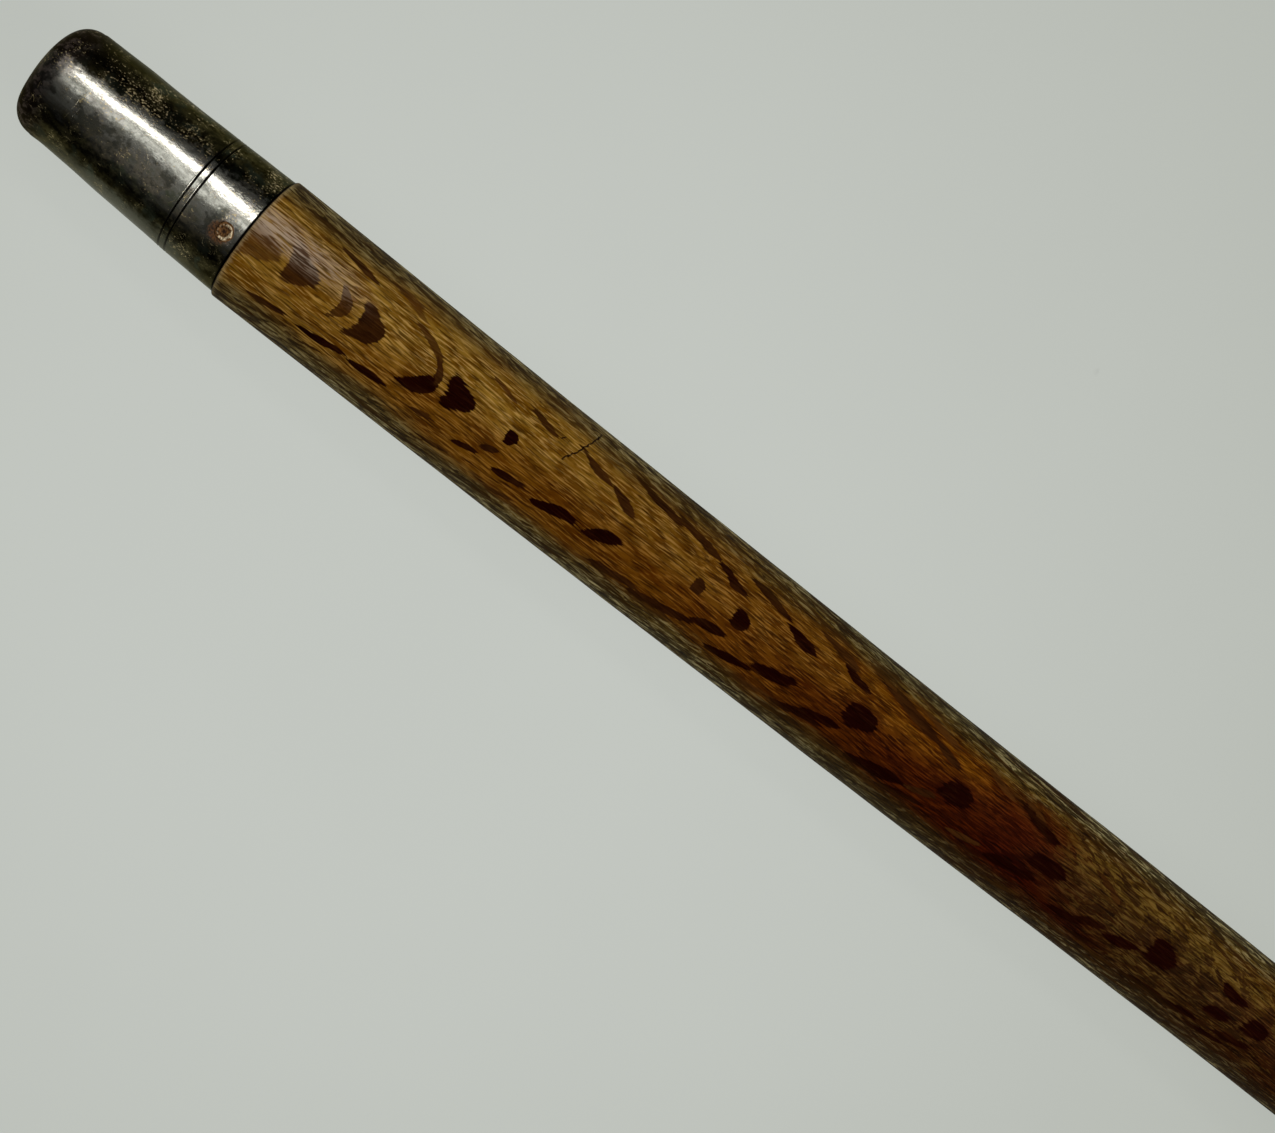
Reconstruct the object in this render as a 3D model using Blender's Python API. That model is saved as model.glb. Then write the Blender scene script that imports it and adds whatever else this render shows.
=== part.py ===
"""Dip pen: a turned wooden holder with a closed metal butt cap, a metal nib ferrule and a steel nib.

The pen lies along X on the plane Z = 0, with its nib towards +X and its butt cap towards -X.
The origin is below the middle of its length. Every turned piece has the same number of flats,
turned so that one of them faces straight down, so nested pieces keep an even gap.
"""

import math

import bmesh
import bpy
from mathutils import Matrix, Vector

MM = 0.001

# Driving dimensions, in millimetres. "Rim" is the edge of the cap or ferrule that meets the wood.
FLATS = 24

WOOD_LENGTH = 128.0
WOOD_BUTT_RADIUS = 5.0
WOOD_FRONT_RADIUS = 4.27
SHOULDER_ROUNDING = 0.15

CAP_LENGTH = 18.1
CAP_RIM_RADIUS = 4.8
CAP_END_RADIUS = 4.3
CAP_CORNER_RADIUS = 1.7
CAP_WALL = 0.4
CAP_END_THICKNESS = 0.6

FERRULE_LENGTH = 24.0
FERRULE_RIM_RADIUS = 4.07
FERRULE_MOUTH_RADIUS = 3.7
FERRULE_WALL = 0.35
MOUTH_ROUNDING = 0.12

LINE_DISTANCES = (4.25, 4.82)
LINE_WIDTH = 0.16
LINE_DEPTH = 0.1

PIN_DISTANCE = 1.12
PIN_TILT = math.radians(12.0)
PIN_HEAD_RADIUS = 0.7
PIN_HEAD_HEIGHT = 0.16
PIN_HEAD_SHOULDER = (0.6, 0.85)    # share of the head's height, share of its radius
PIN_SHANK_RADIUS = 0.4
PIN_LENGTH = 3.2
PIN_SIDES = 10

CUP_RECESS = 0.3
CUP_RADIUS = 3.3
CUP_WALL = 0.22
CUP_FLOOR = 0.4
CUP_DEPTH = 12.3

PETAL_THICKNESS = 0.25
PETAL_WIDTH = 1.6
PETAL_TIP_WIDTH = 1.1
PETAL_LENGTH = 9.4
PETAL_BEND_RADIUS = 0.85
PETAL_SWELL = ((3.0, 2.16), (5.0, 2.3), (6.6, 2.34), (8.2, 2.22), (PETAL_LENGTH, 1.95))    # (along, radius)

NIB_LENGTH = 36.0
NIB_THICKNESS = 0.25
NIB_HEEL_GAP = 0.3
NIB_RADIUS = 3.0
NIB_HALF_ARC = math.radians(82.5)
NIB_HALF_FLATS = 6
NIB_SHOULDER = 15.0
NIB_TIP_WIDTH = 0.6
NIB_DROOP = 0.9
VENT_POSITION = 24.0
VENT_RADIUS = 0.55
SLIT_WIDTH = 0.08

# Gaps between pieces, in millimetres.
FIT_GAP = 0.05
JOINT_GAP = 0.05
END_GAP = 0.3
WELD_DISTANCE = 0.0001

# Worked out from the sizes above, in millimetres from the wood's butt shoulder.
FERRULE_START = WOOD_LENGTH + JOINT_GAP
MOUTH = FERRULE_START + FERRULE_LENGTH
CUP_FLOOR_FACE = MOUTH - CUP_RECESS - CUP_DEPTH
NIB_HEEL = CUP_FLOOR_FACE + NIB_HEEL_GAP
BUTT_END = -JOINT_GAP - CAP_LENGTH
NIB_TIP = NIB_HEEL + NIB_LENGTH
AXIS_HEIGHT = WOOD_BUTT_RADIUS * math.cos(math.pi / FLATS)
MIDDLE = (BUTT_END + NIB_TIP) / 2


def clear_scene():
    for thing in list(bpy.data.objects):
        bpy.data.objects.remove(thing)


def blend(start, end, fraction):
    return start + (end - start) * fraction


def make_material(name, colour, metallic, roughness):
    material = bpy.data.materials.new(name)
    material.use_nodes = True
    shader = material.node_tree.nodes["Principled BSDF"]
    shader.inputs["Base Color"].default_value = (*colour, 1.0)
    shader.inputs["Metallic"].default_value = metallic
    shader.inputs["Roughness"].default_value = roughness
    return material


def finish_object(name, form, material, parent, location, rotation=(0.0, 0.0, 0.0)):
    """Turns a form modelled in millimetres into a smooth-shaded object in metres."""
    bmesh.ops.transform(form, matrix=Matrix.Scale(MM, 4), verts=form.verts)
    mesh = bpy.data.meshes.new(name)
    form.to_mesh(mesh)
    form.free()
    mesh.shade_smooth()
    mesh.set_sharp_from_angle(angle=math.radians(30.0))
    if material:
        mesh.materials.append(material)
    thing = bpy.data.objects.new(name, mesh)
    bpy.context.scene.collection.objects.link(thing)
    thing.parent = parent
    thing.location = Vector(location) * MM
    thing.rotation_euler = rotation
    return thing


def turned_form(outline, sides):
    """Turns an outline of (along, radius) points about X; edges that lie on the axis are left out."""
    form = bmesh.new()
    half_flat = Matrix.Rotation(math.pi / sides, 3, "X")
    points = [form.verts.new(half_flat @ Vector((along, 0.0, -radius))) for along, radius in outline]
    edges = []
    for first, second in zip(points, points[1:] + points[:1]):
        if first.co.yz.length + second.co.yz.length > 0.0:
            edges.append(form.edges.new((first, second)))
    bmesh.ops.spin(form, geom=points + edges, cent=(0.0, 0.0, 0.0), axis=(1.0, 0.0, 0.0),
                   angle=math.tau, steps=sides, use_merge=True)
    bmesh.ops.remove_doubles(form, verts=form.verts, dist=WELD_DISTANCE)
    bmesh.ops.recalc_face_normals(form, faces=form.faces)
    return form


def arc_points(centre, radius, start_degrees, end_degrees, steps):
    """Points on an arc in the (along, radius) plane, with angles counted from the +along direction."""
    points = []
    for step in range(steps + 1):
        angle = math.radians(blend(start_degrees, end_degrees, step / steps))
        points.append((centre[0] + radius * math.cos(angle), centre[1] + radius * math.sin(angle)))
    return points


def engraved_lines(radius_at):
    """The twin engraved lines as outline points, with distances counted from the rim."""
    points = []
    for distance in LINE_DISTANCES:
        for offset, depth in ((-LINE_WIDTH / 2, 0.0), (0.0, LINE_DEPTH), (LINE_WIDTH / 2, 0.0)):
            points.append((distance + offset, radius_at(distance + offset) - depth))
    return points


def cap_radius(distance):
    """Outer radius of the butt cap at a distance from its rim."""
    return blend(CAP_RIM_RADIUS, CAP_END_RADIUS, distance / CAP_LENGTH)


def ferrule_radius(distance):
    """Outer radius of the nib ferrule at a distance from its rim."""
    return blend(FERRULE_RIM_RADIUS, FERRULE_MOUTH_RADIUS, distance / FERRULE_LENGTH)


def make_butt_cap(material, pen):
    """A closed metal cup with a rounded end; it is outlined from its rim, then turned round to point at -X."""
    corner = (CAP_LENGTH - CAP_CORNER_RADIUS, CAP_END_RADIUS - CAP_CORNER_RADIUS)
    inner_end = CAP_LENGTH - CAP_END_THICKNESS
    inner_rounding = CAP_CORNER_RADIUS - CAP_END_THICKNESS
    inner_corner = (inner_end - inner_rounding, CAP_END_RADIUS - CAP_WALL - inner_rounding)
    outline = [(0.0, CAP_RIM_RADIUS)]
    outline += engraved_lines(cap_radius)
    outline += arc_points(corner, CAP_CORNER_RADIUS, 90.0, 0.0, 6)
    outline += [(CAP_LENGTH, 0.0), (inner_end, 0.0)]
    outline += arc_points(inner_corner, inner_rounding, 0.0, 90.0, 4)
    outline.append((0.0, CAP_RIM_RADIUS - CAP_WALL))
    form = turned_form(outline, FLATS)
    return finish_object("butt_cap", form, material, pen, (-JOINT_GAP, 0.0, 0.0), (0.0, 0.0, math.pi))


def make_nib_ferrule(material, pen):
    """An open metal tube that tapers to the mouth the nib goes into."""
    outline = [(0.0, FERRULE_RIM_RADIUS)]
    outline += engraved_lines(ferrule_radius)
    outline.append((FERRULE_LENGTH - MOUTH_ROUNDING, FERRULE_MOUTH_RADIUS))
    outline.append((FERRULE_LENGTH, FERRULE_MOUTH_RADIUS - MOUTH_ROUNDING))
    outline.append((FERRULE_LENGTH, FERRULE_MOUTH_RADIUS - FERRULE_WALL))
    outline.append((0.0, FERRULE_RIM_RADIUS - FERRULE_WALL))
    form = turned_form(outline, FLATS)
    return finish_object("nib_ferrule", form, material, pen, (FERRULE_START, 0.0, 0.0))


def make_wood_shaft(material, pen):
    """One turned length of wood, with a tenon at each end for the cap and the ferrule."""
    butt_tenon_end = -JOINT_GAP - CAP_LENGTH + CAP_END_THICKNESS + END_GAP
    butt_tenon_radius = CAP_END_RADIUS - CAP_WALL - FIT_GAP
    butt_rounding = CAP_CORNER_RADIUS - CAP_END_THICKNESS
    butt_root_radius = CAP_RIM_RADIUS - CAP_WALL - FIT_GAP
    front_tenon_end = CUP_FLOOR_FACE - CUP_FLOOR - END_GAP
    front_root_radius = FERRULE_RIM_RADIUS - FERRULE_WALL - FIT_GAP
    front_taper = ferrule_radius(front_tenon_end - FERRULE_START) - FERRULE_RIM_RADIUS
    front_tenon_radius = front_root_radius + front_taper
    outline = [(butt_tenon_end, 0.0)]
    outline.append((butt_tenon_end, butt_tenon_radius - butt_rounding))
    outline.append((butt_tenon_end + butt_rounding, butt_tenon_radius))
    outline.append((0.0, butt_root_radius))
    outline += arc_points((SHOULDER_ROUNDING, WOOD_BUTT_RADIUS - SHOULDER_ROUNDING),
                          SHOULDER_ROUNDING, 180.0, 90.0, 2)
    outline += arc_points((WOOD_LENGTH - SHOULDER_ROUNDING, WOOD_FRONT_RADIUS - SHOULDER_ROUNDING),
                          SHOULDER_ROUNDING, 90.0, 0.0, 2)
    outline.append((WOOD_LENGTH, front_root_radius))
    outline.append((front_tenon_end, front_tenon_radius))
    outline.append((front_tenon_end, 0.0))
    form = turned_form(outline, FLATS)
    return finish_object("wood_shaft", form, material, pen, (0.0, 0.0, 0.0))


def make_pin(name, material, pen, along, seat_radius):
    """A short iron pin driven in from above, with its low round head on the metal's surface."""
    shoulder_height, shoulder_radius = PIN_HEAD_SHOULDER
    outline = [(-PIN_LENGTH, 0.0), (-PIN_LENGTH + PIN_SHANK_RADIUS, PIN_SHANK_RADIUS), (0.0, PIN_SHANK_RADIUS)]
    outline.append((0.0, PIN_HEAD_RADIUS))
    outline.append((PIN_HEAD_HEIGHT * shoulder_height, PIN_HEAD_RADIUS * shoulder_radius))
    outline.append((PIN_HEAD_HEIGHT, 0.0))
    form = turned_form(outline, PIN_SIDES)
    bmesh.ops.transform(form, matrix=Matrix.Rotation(-math.pi / 2, 4, "Y"), verts=form.verts)
    return finish_object(name, form, material, pen, pin_place(along, seat_radius), (PIN_TILT, 0.0, 0.0))


def pin_place(along, seat_radius):
    """The point at a radius from the pen's axis, on the side that the pins are driven in from."""
    return (along, -seat_radius * math.sin(PIN_TILT), seat_radius * math.cos(PIN_TILT))


def cut_pin_hole(name, pen, along, seat_radius, targets):
    """Bores the hole that a pin's shank stands in, through each target piece."""
    depth = PIN_LENGTH + FIT_GAP
    radius = PIN_SHANK_RADIUS + FIT_GAP
    outline = [(-depth, 0.0), (-depth, radius), (PIN_LENGTH, radius), (PIN_LENGTH, 0.0)]
    form = turned_form(outline, PIN_SIDES)
    bmesh.ops.transform(form, matrix=Matrix.Rotation(-math.pi / 2, 4, "Y"), verts=form.verts)
    cutter = finish_object(name, form, None, pen, pin_place(along, seat_radius), (PIN_TILT, 0.0, 0.0))
    cutter.hide_render = True
    cutter.display_type = "WIRE"
    for target in targets:
        cut = target.modifiers.new("pin_hole", "BOOLEAN")
        cut.operation = "DIFFERENCE"
        cut.solver = "EXACT"
        cut.object = cutter


def make_socket_cup(material, pen):
    """The straight-sided steel cup inside the ferrule, which the nib's heel lies against."""
    outline = [(-CUP_FLOOR, 0.0), (-CUP_FLOOR, CUP_RADIUS), (CUP_DEPTH, CUP_RADIUS)]
    outline += [(CUP_DEPTH, CUP_RADIUS - CUP_WALL), (0.0, CUP_RADIUS - CUP_WALL), (0.0, 0.0)]
    form = turned_form(outline, FLATS)
    return finish_object("nib_socket_cup", form, material, pen, (CUP_FLOOR_FACE, 0.0, 0.0))


def petal_path():
    """The middle line of one clutch petal as (along, radius) points, from the edge of its base plate."""
    start = (PETAL_THICKNESS / 2, PETAL_WIDTH / 2)
    centre = (PETAL_BEND_RADIUS, PETAL_BEND_RADIUS + 0.5)
    bend = arc_points(centre, PETAL_BEND_RADIUS - PETAL_THICKNESS / 2, 180.0, 90.0, 4)
    return [start] + bend + list(PETAL_SWELL)


def make_nib_clutch(material, pen):
    """A spring-steel crown: a square base plate whose four edges run out and bend forward as petals."""
    form = bmesh.new()
    size = Matrix.Diagonal((PETAL_THICKNESS, PETAL_WIDTH, PETAL_WIDTH, 1.0))
    bmesh.ops.create_cube(form, size=1.0, matrix=Matrix.Translation((PETAL_THICKNESS / 2, 0.0, 0.0)) @ size)
    plate_edges = [face for face in form.faces if abs(face.normal.x) < 0.5]
    for face in plate_edges:
        grow_petal(form, face, petal_path())
    bmesh.ops.recalc_face_normals(form, faces=form.faces)
    return finish_object("nib_clutch", form, material, pen, (CUP_FLOOR_FACE + FIT_GAP, 0.0, 0.0))


def grow_petal(form, face, path):
    """Carries one petal out from an edge face of the base plate, one four-cornered section at a time."""
    outward = Vector((0.0, round(face.normal.y), round(face.normal.z)))
    across = Vector((0.0, -outward.z, outward.y))
    corners = ((1, 1), (1, -1), (-1, -1), (-1, 1))
    section = [plate_corner(face, across, back, side) for back, side in corners]
    form.faces.remove(face)
    for step in range(1, len(path)):
        here = Vector(path[step])
        travel = (Vector(path[min(step + 1, len(path) - 1)]) - Vector(path[step - 1])).normalized()
        backward = Vector((-travel.y, travel.x)) * PETAL_THICKNESS / 2
        half_width = blend(PETAL_WIDTH, PETAL_TIP_WIDTH, step / (len(path) - 1)) / 2
        following = []
        for back, side in corners:
            along, radius = here + backward * back
            place = Vector((along, 0.0, 0.0)) + outward * radius + across * half_width * side
            following.append(form.verts.new(place))
        for index in range(4):
            after = (index + 1) % 4
            form.faces.new((section[index], section[after], following[after], following[index]))
        section = following
    form.faces.new(section)


def plate_corner(face, across, back, side):
    """The corner of a plate's edge face that is on its back (1) or front (-1), towards one side."""
    return max(face.verts, key=lambda corner: side * corner.co.dot(across) - back * corner.co.x)


def nib_half_arc(along):
    """Half of the arc that the nib covers, in radians: full at the heel, then drawn in towards the tip."""
    tip = NIB_TIP_WIDTH / 2 / NIB_RADIUS
    fraction = max(0.0, (along - NIB_SHOULDER) / (NIB_LENGTH - NIB_SHOULDER))
    straight = 1.0 - fraction
    curved = (1.0 + math.cos(fraction * math.pi)) / 2
    return blend(tip, NIB_HALF_ARC, (straight + curved) / 2)


def nib_half_gap(along):
    """Half the width of the opening on the nib's middle line: none, then the round vent, then the slit."""
    from_vent = along - VENT_POSITION
    round_part = math.sqrt(max(0.0, VENT_RADIUS ** 2 - from_vent ** 2))
    slit_part = SLIT_WIDTH / 2 if from_vent > 0.0 else 0.0
    return max(round_part, slit_part)


def nib_rows():
    """Distances from the heel of the nib's rows of points, with close rows round the vent."""
    heel_rows = [0.0, 4.0, 8.0, 12.0, 15.0, 17.0, 19.0, 21.0, 22.5]
    vent_rows = [VENT_POSITION - VENT_RADIUS * math.cos(math.pi * step / 6) for step in range(7)]
    tine_rows = [25.5, 27.0, 28.5, 30.0, 31.5, 33.0, 34.5, NIB_LENGTH]
    return heel_rows + vent_rows + tine_rows


def nib_point(along, angle):
    """A point of the nib's outer face, at an angle from its crest; the fore part dips a little."""
    fraction = max(0.0, (along - NIB_SHOULDER) / (NIB_LENGTH - NIB_SHOULDER))
    height = NIB_RADIUS * math.cos(angle) - NIB_DROOP * fraction ** 2
    return Vector((along, NIB_RADIUS * math.sin(angle), height))


def make_nib(material, pen):
    """A steel nib bent to an arc, crest up, with a vent and a slit that parts its two tines."""
    form = bmesh.new()
    previous = None
    for along in nib_rows():
        gap_angle = nib_half_gap(along) / NIB_RADIUS
        outer_angle = nib_half_arc(along)
        angles = [blend(gap_angle, outer_angle, step / NIB_HALF_FLATS) for step in range(NIB_HALF_FLATS + 1)]
        halves = {}
        for side in (-1, 1):
            halves[side] = [form.verts.new(nib_point(along, side * angle)) for angle in angles]
        if gap_angle == 0.0:
            form.verts.remove(halves[1][0])
            halves[1][0] = halves[-1][0]
        if previous:
            for side in (-1, 1):
                join_rows(form, previous[side], halves[side], side)
        previous = halves
    nib = finish_object("nib", form, material, pen, (NIB_HEEL, 0.0, 0.0))
    sheet = nib.modifiers.new("sheet", "SOLIDIFY")
    sheet.thickness = NIB_THICKNESS * MM
    sheet.offset = -1.0
    sheet.use_even_offset = True
    return nib


def join_rows(form, first, second, side):
    """Faces between two rows of one half of the nib, wound so that they face outwards."""
    for step in range(NIB_HALF_FLATS):
        corners = [first[step], second[step], second[step + 1], first[step + 1]]
        if side < 0:
            corners.reverse()
        form.faces.new(corners)


def main():
    clear_scene()
    pen = bpy.data.objects.new("pen_axis", None)
    bpy.context.scene.collection.objects.link(pen)
    pen.location = Vector((-MIDDLE, 0.0, AXIS_HEIGHT)) * MM

    wood = make_material("shaft_wood", (0.20, 0.085, 0.018), 0.0, 0.42)
    silver = make_material("aged_nickel_silver", (0.46, 0.44, 0.38), 1.0, 0.32)
    iron = make_material("rusty_iron", (0.12, 0.055, 0.028), 0.4, 0.75)
    tinned = make_material("tinned_steel", (0.55, 0.55, 0.53), 1.0, 0.35)
    spring = make_material("spring_steel", (0.32, 0.32, 0.34), 1.0, 0.3)
    nib_steel = make_material("nib_steel", (0.36, 0.35, 0.35), 1.0, 0.25)

    shaft = make_wood_shaft(wood, pen)
    cap = make_butt_cap(silver, pen)
    ferrule = make_nib_ferrule(silver, pen)
    make_socket_cup(tinned, pen)
    make_nib_clutch(spring, pen)
    make_nib(nib_steel, pen)

    cap_pin = -JOINT_GAP - PIN_DISTANCE
    cap_seat = CAP_RIM_RADIUS + FIT_GAP / 2
    ferrule_pin = FERRULE_START + PIN_DISTANCE
    ferrule_seat = FERRULE_RIM_RADIUS + FIT_GAP / 2
    make_pin("butt_cap_pin", iron, pen, cap_pin, cap_seat)
    make_pin("nib_ferrule_pin", iron, pen, ferrule_pin, ferrule_seat)
    cut_pin_hole("cap_pin_cutter", pen, cap_pin, cap_seat, (cap, shaft))
    cut_pin_hole("ferrule_pin_cutter", pen, ferrule_pin, ferrule_seat, (ferrule, shaft))


main()
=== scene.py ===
"""Looks of the dip pen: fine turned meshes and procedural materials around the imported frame.

Every piece is modelled in the pen's own space: millimetres along the pen from the wood's butt
shoulder, and degrees round it from the crest towards -Y. Objects stand on the pen's axis at that
shoulder, so a material's object coordinates are the same space in metres.
"""

import math

import bpy
import numpy as np
from mathutils import Matrix, Vector


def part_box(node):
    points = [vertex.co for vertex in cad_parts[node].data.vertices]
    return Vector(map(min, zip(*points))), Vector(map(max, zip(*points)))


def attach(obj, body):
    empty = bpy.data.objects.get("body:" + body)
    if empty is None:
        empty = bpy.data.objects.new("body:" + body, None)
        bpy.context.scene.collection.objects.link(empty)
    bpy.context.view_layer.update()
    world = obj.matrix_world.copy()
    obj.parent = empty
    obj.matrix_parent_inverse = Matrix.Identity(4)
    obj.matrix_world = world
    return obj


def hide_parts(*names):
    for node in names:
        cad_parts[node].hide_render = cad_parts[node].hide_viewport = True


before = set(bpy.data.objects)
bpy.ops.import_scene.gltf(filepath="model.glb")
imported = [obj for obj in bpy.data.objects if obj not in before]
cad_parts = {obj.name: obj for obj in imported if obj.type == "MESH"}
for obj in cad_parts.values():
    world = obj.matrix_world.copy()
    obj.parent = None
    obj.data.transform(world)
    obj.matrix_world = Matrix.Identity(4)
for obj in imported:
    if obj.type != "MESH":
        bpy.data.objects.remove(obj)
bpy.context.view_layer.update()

# Sizes in millimetres. "Rim" is the edge of the cap or ferrule that meets the wood.
MM = 0.001
WOOD_SIDES, CAP_SIDES, FERRULE_SIDES, CUP_SIDES, PIN_SIDES = 156, 168, 144, 120, 72
FLATS = 24  # the CAD pieces are turned with this many flats
FLAT_TO_ROUND = 1.0 / math.cos(math.pi / FLATS)
JOINT_GAP = 0.05  # between the metal and the wood's shoulders

WOOD_STEP = 0.2  # how far the wood stands proud of the metal at both rims
SHOULDER = 0.15  # rounding of the wood's shoulders
STUB_LENGTH = 1.0  # the wood goes this far into the metal, unseen
STUB_DROP = 0.45  # how far the stubs lie under the metal's outside

CAP_TAPER = 0.5  # loss of radius from the cap's rim to its end
CAP_CORNER = 1.7
CAP_CROWN = 0.02  # how far the middle of the cap's end stands out
CAP_WALL = 0.4
CAP_END_WALL = 0.6
CAP_LEAN = 0.44  # how far age has moved the cap's end aside
WOOD_BOWS = (0.07, 0.20)  # how far the wood bows to -Y, and further on to +Y
BOW_CHANGE = 50.0  # where along the pen the first bow ends
KNOCK_DEGREES = 62.0  # where round the cap's end its corner has been knocked out
KNOCK_SPREAD = 32.0  # degrees
KNOCK_LENGTH = 2.6
KNOCK_HEIGHT = 0.35

FERRULE_WALL = 0.35
METAL_EDGE = 0.06  # rounding of both rims
MOUTH_ROUNDING = 0.12
LINE_DISTANCES = (4.25, 4.82)  # engraved lines, from the rim
LINE_HALF_WIDTH = 0.085
LINE_DEPTH = 0.09
BURR_HEIGHT = 0.012

PIN_DISTANCE = 1.12  # from the rim
PIN_ANGLE = 12.0
PIN_RADIUS = 0.7
PIN_SEAT = 0.25  # how deep the head's underside lies

CUP_WALL = 0.22
CUP_FLOOR = 0.4

PETAL_THICKNESS = 0.25
PETAL_BEND = 0.85
PETAL_HUB = 0.5  # radius of the flat middle that joins the petals
PETAL_HALF_WIDTH = 0.8
PETAL_TIP_LOSS = 0.25  # how much of the half width is gone at the tip
PETAL_LINE = [(2.0, 2.12), (3.0, 2.16), (5.0, 2.3), (6.6, 2.34), (8.2, 2.22), (9.4, 1.95)]

NIB_RADIUS = 3.0
NIB_THICKNESS = 0.25
NIB_LENGTH = 36.0
NIB_SHOULDER = 15.0
NIB_HALF_ARC = 82.5
NIB_TIP_HALF_WIDTH = 0.3
NIB_DROOP = 0.9
VENT_POSITION = 24.0
VENT_RADIUS = 0.55
SLIT_HALF_WIDTH = 0.04

# -------- places, from the frame


def half_height(node):
    low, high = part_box(node)
    return (high.z - low.z) / 2 / MM * FLAT_TO_ROUND


cap_low, cap_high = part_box("butt_cap")
ferrule_low, ferrule_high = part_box("nib_ferrule")
cup_low, cup_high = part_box("nib_socket_cup")
AXIS_HEIGHT = (cap_low.z + cap_high.z) / 2
SHOULDER_X = cap_high.x + JOINT_GAP * MM
ORIGIN = Vector((SHOULDER_X, 0.0, AXIS_HEIGHT))


def along(x):
    """Millimetres along the pen of a place in the frame."""
    return (x - SHOULDER_X) / MM


CAP_END = along(cap_low.x)
WOOD_FRONT = along(ferrule_low.x) - JOINT_GAP
FERRULE_RIM = along(ferrule_low.x)
MOUTH = along(ferrule_high.x)
CAP_LENGTH = -JOINT_GAP - CAP_END
CAP_RIM_RADIUS = half_height("butt_cap")
WOOD_BUTT_RADIUS = half_height("wood_shaft")
FERRULE_RIM_RADIUS = half_height("nib_ferrule")
CUP_RADIUS = half_height("nib_socket_cup")
WOOD_FRONT_RADIUS = FERRULE_RIM_RADIUS + WOOD_STEP
FERRULE_MOUTH_RADIUS = CUP_RADIUS + JOINT_GAP + FERRULE_WALL

# -------- mesh helpers


def add_object(name, data):
    """Makes an object with this mesh, light or camera, and puts it in the scene."""
    made = bpy.data.objects.new(name, data)
    bpy.context.scene.collection.objects.link(made)
    return made


def place(name, mesh, material, body, node):
    mesh.materials.append(material)
    mesh.shade_smooth()
    piece = add_object(name, mesh)
    piece.location = ORIGIN
    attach(piece, body)
    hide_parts(node)


def mesh_from(name, points, faces):
    """A mesh in metres from points in millimetres."""
    mesh = bpy.data.meshes.new(name)
    mesh.from_pydata([tuple(point) for point in np.asarray(points) * MM], [], faces)
    mesh.validate()
    return mesh


def store(mesh, name, vectors):
    """Keeps three numbers at each of the mesh's points, for its material to read."""
    attribute = mesh.attributes.new(name, "FLOAT_VECTOR", "POINT")
    attribute.data.foreach_set("vector", np.asarray(vectors, dtype=np.float32).ravel())


def bow(distance):
    """How far the old wood and its cap have bent towards -Y, in millimetres, at a place along the pen."""
    if distance < 0.0:
        return -CAP_LEAN * (distance / CAP_END) ** 1.2
    if distance < BOW_CHANGE:
        return WOOD_BOWS[0] * math.sin(math.pi * distance / BOW_CHANGE)
    share = (distance - BOW_CHANGE) / (WOOD_FRONT - BOW_CHANGE)
    return -WOOD_BOWS[1] * (1.0 - math.cos(2 * math.pi * share)) / 2


def turned(name, outline, around, shape=None, bent=False):
    """Turns an outline of (along, radius) about the axis. The outline runs along the outside towards +X.

    shape(along, degrees) gives a small radial change, so that a piece isn't perfectly round."""
    degrees = np.arange(around) * 360.0 / around - 180.0
    turns = np.radians(degrees)
    points, rings = [], []
    for distance, radius in outline:
        aside = -bow(min(distance, WOOD_FRONT)) if bent else 0.0
        if radius <= 0.0:
            rings.append([len(points)])
            points.append((distance, aside, 0.0))
            continue
        radii = np.full(around, radius)
        if shape:
            radii = radii + shape(np.full(around, distance), degrees)
        rings.append(list(range(len(points), len(points) + around)))
        points += zip(np.full(around, distance), aside - radii * np.sin(turns), radii * np.cos(turns))
    pairs = list(zip(rings, rings[1:]))
    if len(rings[0]) > 1 and len(rings[-1]) > 1:
        pairs.append((rings[-1], rings[0]))
    faces = []
    for first, second in pairs:
        for step in range(around):
            after = (step + 1) % around
            if len(first) == 1:
                faces.append((first[0], second[after], second[step]))
            elif len(second) == 1:
                faces.append((first[step], first[after], second[0]))
            else:
                faces.append((first[step], first[after], second[after], second[step]))
    return mesh_from(name, points, faces)


def run(start, end, step):
    """Evenly spaced distances from start to end, both included, about step apart."""
    return np.linspace(start, end, max(2, int(round(abs(end - start) / step)) + 1))


def arc(centre, radius, start, end, steps):
    """Outline points on an arc, with angles in degrees from the +along direction."""
    angles = np.radians(np.linspace(start, end, steps + 1))
    return [(centre[0] + radius * math.cos(a), centre[1] + radius * math.sin(a)) for a in angles]


def ripples(seed, count, height, longest, shortest, radius):
    """A smooth random surface made of waves that close up round the pen."""
    random = np.random.RandomState(seed)
    waves = []
    for index in range(count):
        length = longest * (shortest / longest) ** (index / max(1, count - 1))
        direction = random.uniform(0.0, math.pi)
        turns = int(round(math.cos(direction) * 2 * math.pi * radius / length))
        waves.append((2 * math.pi * math.sin(direction) / length, turns, random.uniform(0.0, 2 * math.pi)))

    def surface(distance, degrees):
        total = np.zeros_like(distance, dtype=float)
        for lengthwise, turns, phase in waves:
            total += np.sin(lengthwise * distance + turns * np.radians(degrees) + phase)
        return total * height / math.sqrt(count)
    return surface


def engraved(distance_from_rim):
    """Change of radius made by the twin engraved lines, with the burr that each one raises."""
    change = np.zeros_like(distance_from_rim)
    for line in LINE_DISTANCES:
        across = np.abs(distance_from_rim - line) / LINE_HALF_WIDTH
        change -= LINE_DEPTH * np.clip(1.0 - across, 0.0, 1.0)
        change += BURR_HEIGHT * np.exp(-((across - 1.35) / 0.3) ** 2)
    return change


def engraved_run(length):
    """Distances from the rim, close together round the engraved lines."""
    coarse = run(0.0, length, 0.3)
    fine = [line + offset for line in LINE_DISTANCES for offset in run(-0.21, 0.21, 0.02)]
    kept = [d for d in coarse if all(abs(d - line) > 0.24 for line in LINE_DISTANCES)]
    return np.array(sorted(kept + fine))


# -------- node helpers


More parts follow.
